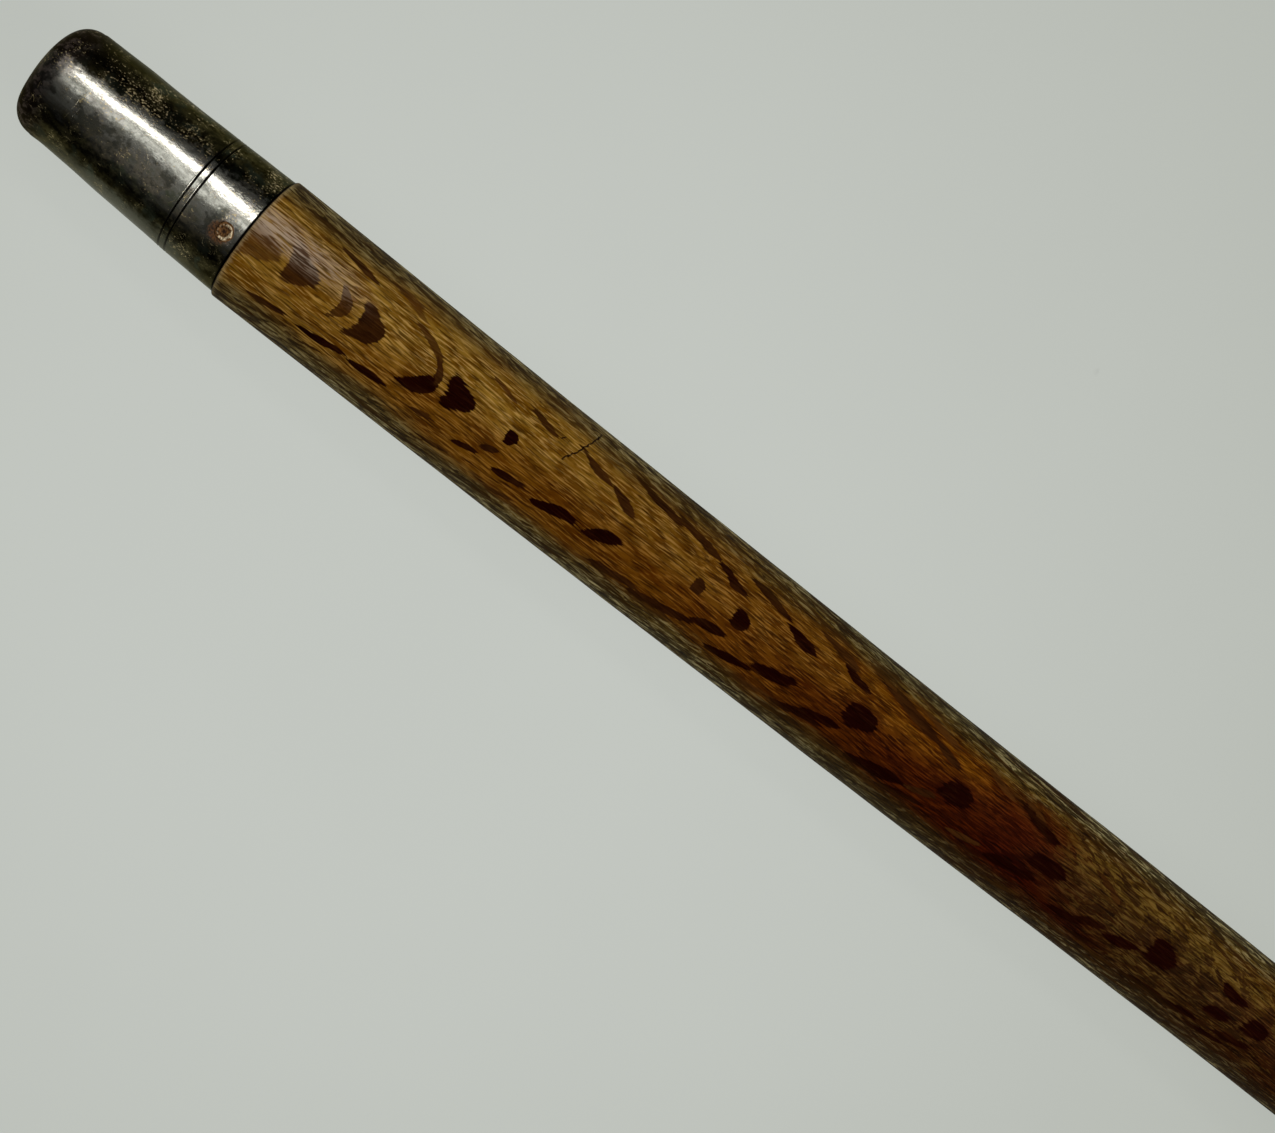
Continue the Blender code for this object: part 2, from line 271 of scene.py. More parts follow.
def rgba(value):
    """A colour with its alpha; anything else is left as it is."""
    return (*value, 1.0) if isinstance(value, tuple) and len(value) == 3 else value


class Value:
    """A number or vector that a material works out. Arithmetic on it adds math nodes."""

    def __init__(self, tree, socket):
        self.tree = tree
        self.socket = socket

    def __add__(self, other):
        return self.tree.math("ADD", self, other)

    def __sub__(self, other):
        return self.tree.math("SUBTRACT", self, other)

    def __rsub__(self, other):
        return self.tree.math("SUBTRACT", other, self)

    def __mul__(self, other):
        return self.tree.math("MULTIPLY", self, other)

    def __abs__(self):
        return self.tree.math("ABSOLUTE", self, 0.0)


class Tree:
    """The nodes of a material or of the world."""

    def __init__(self, owner):
        owner.use_nodes = True
        self.nodes = owner.node_tree.nodes
        self.links = owner.node_tree.links

    def put(self, socket, value):
        """Links a worked-out value to a socket, or sets the socket to a plain one."""
        if isinstance(value, Value):
            self.links.new(value.socket, socket)
        else:
            socket.default_value = value

    def add(self, kind, inputs, **settings):
        """Adds a node with these inputs and settings, and gives its outputs."""
        node = self.nodes.new("ShaderNode" + kind)
        for name, setting in settings.items():
            setattr(node, name, setting)
        for key, value in inputs.items():
            self.put(node.inputs[key], value)
        return [Value(self, output) for output in node.outputs]

    def math(self, operation, first, second):
        return self.add("Math", {0: first, 1: second}, operation=operation)[0]

    def larger(self, first, second):
        return self.math("MAXIMUM", first, second)

    def scaled(self, vector, factors):
        return self.add("VectorMath", {0: vector, 1: factors}, operation="MULTIPLY")[0]

    def moved(self, vector, shift):
        return self.add("VectorMath", {0: vector, 1: shift}, operation="ADD")[0]

    def distance(self, first, second):
        return self.add("VectorMath", {0: first, 1: second}, operation="DISTANCE")[1]

    def vector(self, x, y, z):
        return self.add("CombineXYZ", {0: x, 1: y, 2: z})[0]

    def split(self, vector):
        return self.add("SeparateXYZ", {0: vector})

    def attribute(self, name):
        """The three numbers that the mesh stores at each point under this name."""
        return self.split(self.add("Attribute", {}, attribute_name=name)[1])

    def noise(self, vector, scale, detail=2.0, roughness=0.5, distortion=0.0):
        return self.add("TexNoise", {"Vector": vector, "Scale": scale, "Detail": detail,
                                     "Roughness": roughness, "Distortion": distortion})[0]

    def specks(self, vector, scale):
        """The distance from the nearest of many scattered points."""
        return self.add("TexVoronoi", {"Vector": vector, "Scale": scale})[0]

    def span(self, value, low, high, low_out=0.0, high_out=1.0):
        """A smooth step: low_out up to low, high_out from high on."""
        inputs = {"Value": value, "From Min": low, "From Max": high, "To Min": low_out, "To Max": high_out}
        return self.add("MapRange", inputs, interpolation_type="SMOOTHSTEP")[0]

    def bell(self, value, centre, half_width):
        """One at the centre, falling smoothly to nothing at half_width either side."""
        return self.span(abs(value - centre), 0.0, half_width, 1.0, 0.0)

    def blend(self, factor, first, second, mode="MIX"):
        """The first colour where factor is nothing, the second where it is one."""
        inputs = {0: factor, 6: rgba(first), 7: rgba(second)}
        return self.add("Mix", inputs, data_type="RGBA", blend_type=mode)[2]

    def tinted(self, factor, colour, tint):
        """The colour, multiplied by the tint where factor is one."""
        return self.blend(factor, colour, tint, "MULTIPLY")

    def bump(self, height, depth):
        """Raises the surface by height times depth, in metres."""
        return self.add("Bump", {"Strength": 1.0, "Distance": depth, "Height": height})[0]


class Paint(Tree):
    """A material's nodes, with each point's place as space (x, y, z) in millimetres and turn in degrees."""

    def __init__(self, name):
        self.material = bpy.data.materials.new(name)
        super().__init__(self.material)
        self.space = self.scaled(self.add("TexCoord", {})[3], (1 / MM, 1 / MM, 1 / MM))
        self.x, self.y, self.z = self.split(self.space)
        self.turn = self.math("ARCTAN2", self.y * -1.0, self.z) * (180.0 / math.pi)

    def set(self, name, value):
        """Sets or links an input of the Principled shader."""
        self.put(self.nodes["Principled BSDF"].inputs[name], rgba(value))


# -------- the wood's figure

GROWTH_REACH = 26.0  # how far along the pen one growth ring runs from crest to flank
# Marks on the crest, as (along, degrees, thickness along the pen, half spread in degrees, strength,
# strength of its twin). A mark with a twin is the twin's mirror image on the other side of the
# crest: the first strength is the +Y mark's and the second the -Y mark's.
CREST_MARKS = [
    (1.2, 2, 2.9, 17, 0.50, 0.0), (4.6, -1, 2.4, 16, 0.72, 0.0), (8.3, -1, 0.9, 15, 0.66, 0.0),
    (10.5, -1, 1.9, 18, 0.76, 0.0), (16.3, -3, 0.7, 16, 0.74, 0.0), (14.6, -21, 1.4, 7.5, 0.62, 0.0),
    (15.5, 12, 1.8, 10, 0.94, 0.0), (18.4, 0, 1.9, 13, 0.94, 0.0), (22.7, -1, 1.0, 7, 0.90, 0.0),
    (22.0, 17, 1.1, 5, 0.80, 0.0), (7.5, -37, 2.3, 4.0, 0.72, 0.0), (11.0, -43, 1.8, 4, 0.55, 0.0),
    (12.6, -36, 1.2, 4, 0.40, 0.0), (4.0, 38, 2.2, 3.6, 0.78, 0.0), (8.4, 33.5, 2.8, 4.2, 0.90, 0.0),
    (12.2, 31, 2.8, 4.0, 0.86, 0.0), (16.8, 29, 1.6, 4, 0.68, 0.0), (20.4, 29, 1.4, 4, 0.84, 0.0),
    (20.3, -31, 1.2, 5, 0.60, 0.0), (24.2, 27, 2.2, 5, 0.84, 0.0), (23.9, -29, 1.8, 4.5, 0.70, 0.0),
    (28.3, 25, 2.4, 7, 1.00, 0.0), (28.7, -27, 1.9, 6, 0.72, 0.0), (31.8, 17, 1.9, 8.5, 0.92, 0.0),
    (31.7, -17, 1.5, 8, 0.74, 0.0), (33.9, 39, 3.0, 6.5, 0.76, 0.0), (33.8, -39, 2.8, 6.5, 0.76, 0.0),
    (37.7, 36, 2.8, 7.0, 0.80, 0.0), (37.5, -36, 2.6, 6.5, 0.74, 0.0), (39.4, 0, 1.1, 6.5, 0.74, 0.0),
    (41.3, 23, 1.8, 6.5, 0.84, 0.0), (41.3, -23, 2.0, 6.5, 0.84, 0.0), (43.1, 0, 1.5, 9, 0.92, 0.0),
    (44.2, 33, 2.7, 6.8, 0.90, 0.0), (44.1, -33, 2.6, 6.5, 0.80, 0.0), (46.4, 43, 2.0, 6, 0.60, 0.0),
    (47.6, 19, 2.8, 7.5, 0.98, 0.0), (47.5, -19, 2.5, 7.2, 0.88, 0.0), (50.3, 35, 2.5, 6, 0.66, 0.86),
    (52.4, 23, 2.0, 5.4, 0.86, 0.94), (54.2, 1, 2.3, 10, 1.00, 0.0), (53.8, 43, 2.0, 5, 0.50, 0.62),
    (57.1, 32, 3.3, 10, 0.74, 1.00), (59.8, 36, 2.0, 6, 0.48, 0.84), (61.0, 20, 1.6, 6, 0.76, 0.70),
    (63.2, 3, 2.6, 11, 1.00, 0.0), (65.4, 30, 1.7, 6, 0.50, 0.66), (69.4, -22.5, 2.3, 6, 0.88, 0.0),
    (68.6, -31, 1.4, 4, 0.55, 0.0), (69.4, 26, 3.0, 7, 0.98, 0.0), (71.7, 3, 3.0, 9, 0.98, 0.0),
    (75.9, -19.5, 1.2, 4, 0.66, 0.0), (77.0, -13, 0.9, 3, 0.52, 0.0), (76.4, 21, 1.6, 7, 0.84, 0.0),
    (74.7, 30, 2.0, 5, 0.94, 0.0), (77.4, 37.5, 2.2, 4, 0.86, 0.0), (79.2, 16.5, 2.2, 6, 0.94, 0.0),
    (82.3, 3, 2.5, 12, 1.00, 0.0), (83.0, 38, 2.6, 5, 0.92, 0.0), (86.0, 34.5, 2.8, 5, 0.92, 0.0),
    (88.4, -10.5, 2.2, 5.5, 1.00, 0.0), (88.4, 13.5, 2.2, 6, 1.00, 0.0), (91.3, 5, 2.0, 8, 0.98, 0.0),
    (90.6, 25.5, 2.0, 6, 0.86, 0.0), (89.2, 37.5, 2.6, 5, 0.92, 0.0),
]
CREST_END = 93.0  # past here the crest's marks are random too
MARK_SPACING = 3.9  # between random marks along the crest and the underside
FLANK_MARKS = 520
CRACK = [(-62.0, 27.6), (-43.0, 27.3), (-27.0, 26.9), (-19.0, 26.5), (-13.0, 26.3)]  # (degrees, along)
CRACK_TWIG = [(-33.0, 25.7), (-26.0, 25.4)]
TWIG_END = 26.0  # the twig is nearer than the crack up to here


def figure_marks():
    """All marks as (along, degrees, thickness, half spread, strength): those listed, then random ones."""
    marks = []
    for distance, degrees, thickness, spread, strength, twin in CREST_MARKS:
        if twin > 0.0:
            marks.append((distance, -degrees, thickness, spread, strength))
            marks.append((distance, degrees, thickness, spread, twin))
        else:
            marks.append((distance, degrees, thickness, spread, strength))
    random = np.random.RandomState(27)
    for crest, start in ((0.0, CREST_END + 2.5), (180.0, 2.0)):
        for distance in np.arange(start, WOOD_FRONT, MARK_SPACING):
            marks.append((distance + random.uniform(-1, 1), crest + random.uniform(-3, 3),
                          random.uniform(1.0, 2.6), random.uniform(7, 13), random.uniform(0.6, 1.0)))
            for side in (-1, 1):
                marks.append((distance + random.uniform(0.5, 3.0), crest + side * random.uniform(17, 42),
                              random.uniform(1.3, 2.3), random.uniform(4, 8), random.uniform(0.5, 0.95)))
    for _ in range(FLANK_MARKS):
        marks.append((random.uniform(-1, WOOD_FRONT + 1), random.choice((-1, 1)) * random.uniform(43, 137),
                      random.uniform(0.8, 2.4), random.uniform(1.6, 4.2), random.uniform(0.30, 0.80)))
    return marks


def off_crack(distance, degrees, crack):
    """Millimetres along the pen from a crack that runs round it, or a large number past its ends."""
    angles, places = zip(*crack)
    off = distance - np.interp(degrees, angles, places)
    return np.where((degrees < angles[0]) | (degrees > angles[-1]), 9.0, off)


def paint_figure(mesh):
    """Stores at each point how far inside a mark it is, the mark's strength, and how far off a crack."""
    points = np.zeros(len(mesh.vertices) * 3)
    mesh.vertices.foreach_get("co", points)
    points = points.reshape(-1, 3) / MM
    distance = points[:, 0]
    turns = np.arctan2(-points[:, 1], points[:, 2])
    degrees = np.degrees(turns)
    wander = ripples(41, 14, 0.20, 9.0, 2.0, WOOD_BUTT_RADIUS)(distance, degrees)
    stray = ripples(42, 14, 1.8, 9.0, 2.0, WOOD_BUTT_RADIUS)(distance, degrees)
    inside = np.full(len(points), -1.5)
    strength = np.zeros(len(points))
    fullness = 2.3    # 2 would make the marks plain ellipses
    for where, angle, thickness, spread, tone in figure_marks():
        ring = distance - GROWTH_REACH * (np.cos(turns) - math.cos(math.radians(angle)))
        along_off = (ring - where + wander * min(1.0, thickness / 2)) / (thickness / 2)
        around_off = ((degrees + stray * min(1.0, spread / 10) - angle + 180.0) % 360.0 - 180.0) / spread
        depth = 1.0 - (np.abs(along_off) ** fullness + np.abs(around_off) ** fullness) ** (1 / fullness)
        deeper = depth > inside
        inside[deeper] = depth[deeper]
        strength[deeper] = tone
    twig = off_crack(distance, degrees, CRACK_TWIG)
    crack = np.where(distance < TWIG_END, twig, off_crack(distance, degrees, CRACK))
    store(mesh, "figure", np.stack([inside, strength, crack], axis=1))


# -------- materials


def wood_material():
    """Worn wood with fine fibres: golden at the butt, redder further on, olive on its flanks."""
    t = Paint("shaft_wood")
    wander = (t.noise(t.scaled(t.space, (0.14, 0.25, 0.25)), 1.0, 2.0) - 0.5) * 0.6
    wavy = t.moved(t.space, t.vector(0.0, wander, wander))
    fibres = t.noise(t.scaled(wavy, (0.06, 1.0, 1.0)), 2.4, 3.0, 0.6)
    fine = t.noise(t.scaled(wavy, (0.065, 1.0, 1.0)), 9.0, 2.0, 0.5)
    threads = t.noise(t.moved(t.scaled(wavy, (0.075, 1.0, 1.0)), (0.0, 40.0, 0.0)), 9.5, 2.0, 0.5)
    patches = t.noise(t.scaled(t.space, (0.35, 1.0, 1.0)), 0.33, 3.0) - 0.5
    mottle = t.noise(t.scaled(t.space, (0.40, 1.0, 1.0)), 1.1, 4.0, 0.6)
    ring = t.x - t.z * (GROWTH_REACH / WOOD_BUTT_RADIUS)
    flecks = t.noise(t.vector(t.x * 0.45, ring * 0.50, t.y * 0.7), 1.0, 3.0, 0.6, 0.5)
    ripple = t.noise(t.scaled(t.space, (0.16, 1.0, 1.0)), 4.2, 2.0, 0.5, 0.7)
    bands = t.noise(t.vector(ring * 0.33, t.y * 0.12, 3.0), 1.0, 2.0, 0.5)

    # The polished crest: its ground, fibres and pale threads, then redder and darker with distance, with
    # painted shade on its -Y side that deepens further along.
    clean = t.blend(t.span(mottle, 0.40, 0.60), (0.155, 0.064, 0.0034), (0.265, 0.140, 0.0170))
    clean = t.blend(t.span(fibres, 0.36, 0.60, 0.45, 0.0), clean, (0.085, 0.034, 0.0020))
    clean = t.blend(t.span(bands, 0.54, 0.62, 0.0, 0.28), clean, (0.080, 0.030, 0.0020))
    clean = t.blend(t.span(threads, 0.50, 0.64, 0.0, 0.65), clean, (0.530, 0.325, 0.0900))
    further = t.x + patches * 18.0
    hue = t.blend(t.span(further, 12.0, 62.0), (1.0, 1.0, 1.0), (0.50, 0.305, 0.08))
    # Painted shade: the -Y side, away from the key light, is made darker and redder.
    shaded = t.span(t.turn, -14.0, 16.0) * t.span(further, -8.0, 22.0)
    clean = t.tinted(1.0, clean, t.tinted(shaded, hue, (0.64, 0.47, 0.25)))
    # More painted shade on the -Y side past about 44 mm, reaching across the crest past 60 mm.
    side_shade_mask = t.span(t.turn + t.span(t.x, 60.0, 70.0, 0.0, 22.0), -22.0, 6.0)
    side_shade = side_shade_mask * t.span(further, 44.0, 62.0)
    clean = t.tinted(side_shade, clean, (0.62, 0.42, 0.55))
    clean = t.tinted(t.span(t.x, 61.0, 69.0), clean, (0.66, 0.45, 0.80))

    # The flanks, and further on the crest as well: olive, with pale and dark flecks. On the flanks the
    # darker olive is partly weathering and partly painted shade; towards the outer flanks the greyer olive
    # and whiter flecks are partly weathering and partly a painted grey reflection of the pale surroundings.
    faded = t.x - t.turn * 0.10 + patches * 16.0
    faded = t.span(faded, 69.0, 79.0) * t.span(t.x, 86.0, 98.0, 0.80, 0.40)
    aside = abs(t.y) + patches * 2.2 + t.span(t.x, 20.0, 60.0, 0.0, 0.5)
    flank = t.span(aside, 2.9, 4.2)
    outer = t.span(aside, 3.9, 4.9)
    weathered_and_shaded = t.larger(faded, flank)
    olive = t.blend(t.span(mottle, 0.40, 0.60), (0.075, 0.036, 0.0030), (0.135, 0.078, 0.0120))
    olive = t.blend(outer, olive, (0.085, 0.064, 0.0200))
    olive = t.blend(t.span(t.x, 10.0, 45.0, 0.60, 0.0), olive, (0.170, 0.112, 0.0340))
    # Painted shade: the -Y side is darkened from about 30 mm on, less on the outer flanks, with fewer pale
    # flecks in it.
    lower_side = t.span(t.turn + t.span(t.x, 40.0, 70.0, 0.0, 14.0), -14.0, 16.0)
    shade = lower_side * t.span(t.x, 30.0, 72.0, 0.0, 0.93) * t.span(outer, 0.0, 1.0, 1.0, 0.5)
    olive = t.blend(shade, olive, (0.024, 0.0065, 0.0006))
    fleck_level = flecks + (ripple - 0.5) * 0.5
    pale = t.span(fleck_level, 0.48, 0.55, 1.0, 0.20) * t.span(ripple, 0.48, 0.55)
    pale = pale * (t.span(outer, 0.0, 1.0, 0.60, 0.95) * t.span(t.x, 0.0, 30.0, 0.55, 1.0))
    pale = pale * t.span(shade, 0.0, 0.93, 1.0, 0.50)
    pale = pale * t.span(abs(t.turn), 78.0, 96.0, 1.0, 0.40)
    pale = pale * (1.0 - t.bell(t.x, 57.0, 22.0) * 0.52)
    # Pale flecks turn whiter towards the flanks: a painted grey reflection at grazing angles.
    grazing_sheen = t.larger(flank * 0.6, outer)
    pale_colour = t.blend(grazing_sheen, (0.230, 0.140, 0.030), (0.500, 0.415, 0.200))
    olive = t.blend(t.span(ripple, 0.46, 0.38, 0.0, 0.80), olive, (0.026, 0.012, 0.0020))
    olive = t.blend(pale, olive, pale_colour)
    olive = t.blend(t.span(fleck_level, 0.53, 0.58, 0.0, 0.90), olive, (0.022, 0.010, 0.0020))
    olive = t.blend(t.span(threads, 0.52, 0.66) * 0.22, olive, (0.220, 0.140, 0.040))
    body = t.blend(weathered_and_shaded, clean, olive)

    # The dark marks, with edges made ragged by the fibres, and a soft reddish halo further on.
    inside, tone, crack = t.attribute("figure")
    ragged = inside + (fibres - 0.5) * 0.5 + (fine - 0.5) * 0.7
    mark = t.span(ragged, -0.07, 0.08) * t.span(tone, 0.3, 0.85, 0.70, 1.0)
    depth = tone + (mottle - 0.5) * 0.5
    mark_colour = t.blend(t.span(depth, 0.40, 0.95), (0.078, 0.028, 0.0055), (0.0100, 0.0009, 0.0003))
    mark_colour = t.blend(t.span(threads, 0.52, 0.66, 0.0, 0.08), mark_colour, (0.120, 0.040, 0.008))
    # Marks are lighter on the flanks, under the same painted sheen.
    mark_colour = t.blend(flank * 0.8, mark_colour, (0.036, 0.017, 0.003))
    halo = t.span(ragged, -0.70, 0.05) * t.span(t.x, 40.0, 60.0, 0.0, 0.60)
    figured = t.tinted(halo, body, (0.58, 0.38, 0.32))
    figured = t.blend(mark, figured, mark_colour)

    # Pores, a painted sheen next to the cap, dirt in the joint, and the crack.
    pore = t.span(fine, 0.52, 0.62) * t.span(mark, 0.0, 1.0, 0.72, 0.45)
    lined = t.tinted(pore, figured, (0.22, 0.18, 0.12))
    # Painted highlight: a pale greyish sheen where the key light's streak runs onto the wood by the cap;
    # the specular is raised a little there too.
    painted_sheen = t.bell(t.x, 2.0, 9.0) * t.bell(t.turn, -16.0, 20.0)
    painted_sheen = painted_sheen * t.span(threads - fine, -0.08, 0.08, 0.12, 1.0)
    with_painted_sheen = t.blend(painted_sheen * 0.82, lined, (0.40, 0.305, 0.225))
    edge = t.span(t.x + fine * 0.8, 0.50, 0.85, 1.0, 0.0)
    with_painted_sheen = t.blend(edge * 0.40, with_painted_sheen, (0.38, 0.29, 0.15))
    dirt = t.span(t.x, 0.04, 0.12, 1.0, 0.0)
    crack_off = crack + (t.noise(t.space, 2.5, 3.0) - 0.5) * 0.5
    split = t.larger(t.span(abs(crack_off), 0.035, 0.075, 1.0, 0.0), dirt)
    t.set("Base Color", t.blend(split, with_painted_sheen, (0.008, 0.004, 0.002)))
    t.set("Roughness", t.span(fine, 0.3, 0.7, 0.60, 0.45))
    t.set("Specular IOR Level", painted_sheen * 0.25 + t.span(mark, 0.0, 1.0, 0.012, 0.004))
    t.set("Normal", t.bump(fibres * 0.6 + threads * 0.3 - pore * 0.6 - split, 0.00005))
    return t.material


def aged_metal(name, rim_x, end_x, pin_x, radius):
    """Tarnished nickel silver: bare in a band along the crest, brown and olive on the flanks and at the
    end. The bare band lies where the highlight falls; the dark flanks and end are partly tarnished metal
    and partly painted shade and dark reflection, and grey patches on the -Y side are painted reflections of
    the pale surroundings.

    rim_x, end_x and pin_x are places along the pen, in millimetres; radius is the rim's."""
    t = Paint(name)
    skin = t.vector(t.x, t.turn * math.radians(radius), 0.0)
    cloud = t.noise(t.space, 0.45, 4.0, 0.6)
    mottle = t.noise(t.scaled(t.space, (0.75, 1.0, 1.0)), 1.9, 6.0, 0.72)
    drawn = t.noise(t.scaled(t.space, (0.22, 1.0, 1.0)), 2.4, 4.0, 0.65)
    speck = t.noise(t.space, 7.5, 3.0, 0.6)
    angle = t.turn + (cloud * 0.6 + mottle * 0.6 + drawn * 0.3 - 0.75) * 48.0
    from_end = abs(t.x - end_x)
    # Bare metal only in a band round the highlight, narrowed with it towards the end; to both sides it is
    # darker, partly tarnished metal and partly painted dark reflection.
    highlight_narrowing = t.span(from_end, 3.0, 13.0, 6.0, 0.0)
    upper = t.span(angle - highlight_narrowing, -35.0, -20.0, 1.0, 0.0)
    lower = t.span(angle + highlight_narrowing, -6.0, 34.0)
    end = t.span(from_end + (mottle - 0.5) * 4.0, 1.0, 3.5, 1.0, 0.0)
    tarnish_and_dark_reflection = t.larger(upper, lower)
    film = t.span(mottle * 0.6 + drawn * 0.4, 0.36, 0.66)
    clean = t.blend(film, (0.68, 0.665, 0.60), (0.34, 0.33, 0.285))
    clean = t.blend(t.span(cloud, 0.50, 0.62) * 0.35, clean, (0.40, 0.345, 0.33))
    brown = t.blend(t.span(mottle, 0.40, 0.62), (0.010, 0.008, 0.0040), (0.072, 0.061, 0.026))
    green = t.blend(t.span(t.noise(t.space, 0.7, 3.0), 0.52, 0.62), brown, (0.032, 0.038, 0.026))
    green = t.blend(t.span(cloud, 0.36, 0.56, 0.75, 0.0), green, (0.006, 0.005, 0.003))
    surface = t.blend(tarnish_and_dark_reflection, clean, green)
    # A grey-green and brownish patch on the -Y side near the end: partly tarnished film, partly a painted
    # reflection of the pale surroundings.
    film_and_reflection = t.bell(from_end, 11.0, 9.0) * t.bell(t.turn, 17.0, 27.0)
    film_and_reflection = film_and_reflection * t.span(mottle + cloud * 0.5, 0.62, 0.84, 0.25, 0.95)
    stain = t.noise(t.scaled(t.space, (0.8, 1.0, 1.0)), 0.85, 5.0, 0.65)
    film_and_reflection_colour = t.blend(t.span(stain, 0.42, 0.60), (0.052, 0.060, 0.038), (0.165, 0.140, 0.112))
    surface = t.blend(film_and_reflection, surface, film_and_reflection_colour)
    spots = t.span(stain, 0.53, 0.60) * t.bell(angle, 8.0, 34.0)
    surface = t.blend(spots * 0.7, surface, (0.045, 0.047, 0.030))
    # Painted reflection: a grey band on the -Y flank near the end, where the metal mirrors the pale
    # surroundings.
    painted_grazing_reflection = t.bell(from_end, 10.0, 9.0) * t.span(angle, 44.0, 62.0, 0.0, 0.6)
    surface = t.blend(painted_grazing_reflection, surface, (0.130, 0.128, 0.085))
    # Painted shade: the +Y side of the end's corner is made near black.
    painted_end_shade = t.span(from_end, 2.5, 7.0, 0.85, 0.0) * t.span(t.turn, -46.0, -32.0, 1.0, 0.0)
    surface = t.blend(painted_end_shade, surface, (0.004, 0.003, 0.002))
    # Darker at the end: partly tarnished metal, partly painted shade where the rounded end turns away from
    # the light.
    end_tarnish_and_shade_colour = t.blend(t.span(mottle, 0.48, 0.60), (0.012, 0.007, 0.006), (0.120, 0.088, 0.080))
    surface = t.blend(end * 0.92, surface, end_tarnish_and_shade_colour)

    hairs = t.noise(t.scaled(skin, (0.8, 0.30, 1.0)), 1.5, 1.0, 0.5, 0.8)
    hair = t.span(abs(hairs - 0.5), 0.0010, 0.0045, 1.0, 0.0)
    hair = hair * t.span(t.noise(t.space, 0.9, 3.0), 0.55, 0.62)
    chip_noise = t.noise(t.scaled(t.space, (0.55, 1.0, 1.0)), 8.5, 3.0, 0.7)
    chip_level = chip_noise + (cloud - 0.5) * 0.5
    scuffed = t.bell(from_end, 7.5, 6.5) * t.bell(t.turn, -36.0, 24.0)
    chip_level = chip_level - t.span(t.turn, -12.0, 14.0, 0.0, 0.022)
    chips = t.span(chip_level + scuffed * 0.085, 0.64, 0.68)
    bright = t.larger(hair * 0.8, chips * 0.85)
    surface = t.blend(bright, surface, (0.70, 0.56, 0.30))

    # Painted shade: the engraved lines are made near black.
    for line in LINE_DISTANCES:
        place_x = rim_x + line if end_x > rim_x else rim_x - line
        groove = t.span(abs(t.x - place_x), 0.05, 0.10, 1.0, 0.0)
        surface = t.blend(groove, surface, (0.006, 0.005, 0.004))
    dirt = t.span(abs(t.x - rim_x), 0.05, 0.13, 1.0, 0.0)
    surface = t.blend(dirt, surface, (0.006, 0.005, 0.004))

    pin_turn = math.radians(PIN_ANGLE)
    crust_centre = (pin_x - 0.20, -radius * math.sin(pin_turn) - 0.22, radius * math.cos(pin_turn))
    rust = t.span(t.distance(t.space, crust_centre) + mottle, 1.15, 1.55, 1.0, 0.0)
    rusty = t.blend(t.span(speck, 0.4, 0.6), (0.022, 0.008, 0.003), (0.15, 0.058, 0.018))
    surface = t.blend(rust * 0.88, surface, rusty)
    t.set("Base Color", surface)
    dull = t.larger(rust * 0.8, chips * upper * 0.7)
    dull = t.larger(dull, t.larger(film_and_reflection, painted_grazing_reflection) * 0.8)
    t.set("Metallic", 1.0 - dull)
    t.set("Specular Tint", (0.62, 0.60, 0.50))
    rough = t.blend(tarnish_and_dark_reflection, (0.155, 0.155, 0.155), (0.32, 0.32, 0.32))
    rough = rough + (mottle - 0.5) * 0.35
    rough = rough + t.larger(rust, end) * 0.25
    t.set("Roughness", t.larger(rough, 0.12))
    rings = t.noise(t.scaled(skin, (9.0, 0.12, 1.0)), 1.0, 3.0, 0.6)
    near_rim = t.span(abs(t.x - rim_x), 1.2, 2.4, 0.35, 0.06)
    relief = mottle * 0.28 + speck * 0.12 + rings * near_rim - hair * 0.10 + rust * 0.6
    t.set("Normal", t.bump(relief, 0.00005))
    return t.material


def rust_material():
    """Rust, with bright chips on the raised ring of the pin's head, most of them on its +X side; there they
    are partly wear and partly a painted highlight.
    """
    t = Paint("rusty_iron")
    share, lengthwise, _ = t.attribute("head")
    grain = t.noise(t.space, 5.0, 6.0, 0.7)
    crust = t.blend(t.span(grain, 0.38, 0.60), (0.016, 0.007, 0.003), (0.190, 0.088, 0.028))
    crust = t.blend(t.bell(share, 0.0, 0.42), crust, (0.020, 0.009, 0.005))
    # Bright chips gathered on the ring's +X side: partly wear, partly a painted highlight.
    ring = t.bell(share, 0.68, 0.30) * t.span(lengthwise, -0.7, 0.6, 0.35, 1.0)
    chip_and_highlight = t.span(t.noise(t.space, 4.2, 3.0, 0.6), 0.44, 0.54) * t.span(ring, 0.25, 0.6)
    t.set("Base Color", t.blend(chip_and_highlight, crust, (0.62, 0.50, 0.33)))
    t.set("Metallic", chip_and_highlight * 0.9)
    t.set("Specular IOR Level", 0.12)
    t.set("Roughness", t.span(chip_and_highlight, 0.0, 1.0, 0.75, 0.32))
    t.set("Normal", t.bump(grain, 0.00008))
    return t.material


def plain_steel(name, dark, light, roughness):
    """Bare steel or tin plate with draw marks, faint spots and a little ink or age in some of them."""
    t = Paint(name)
    draw = t.noise(t.scaled(t.space, (0.25, 3.0, 3.0)), 3.0, 3.0, 0.6)
    spots = t.noise(t.space, 1.3, 5.0, 0.7)
    base = t.blend(t.span(spots, 0.35, 0.65), dark, light)
    t.set("Base Color", t.blend(t.span(spots, 0.60, 0.72, 0.0, 0.6), base, (0.10, 0.075, 0.05)))
    t.set("Metallic", 1.0)
    t.set("Roughness", t.span(draw, 0.3, 0.7, roughness - 0.06, roughness + 0.10))
    t.set("Normal", t.bump(draw + spots * 0.6, 0.000012))
    return t.material


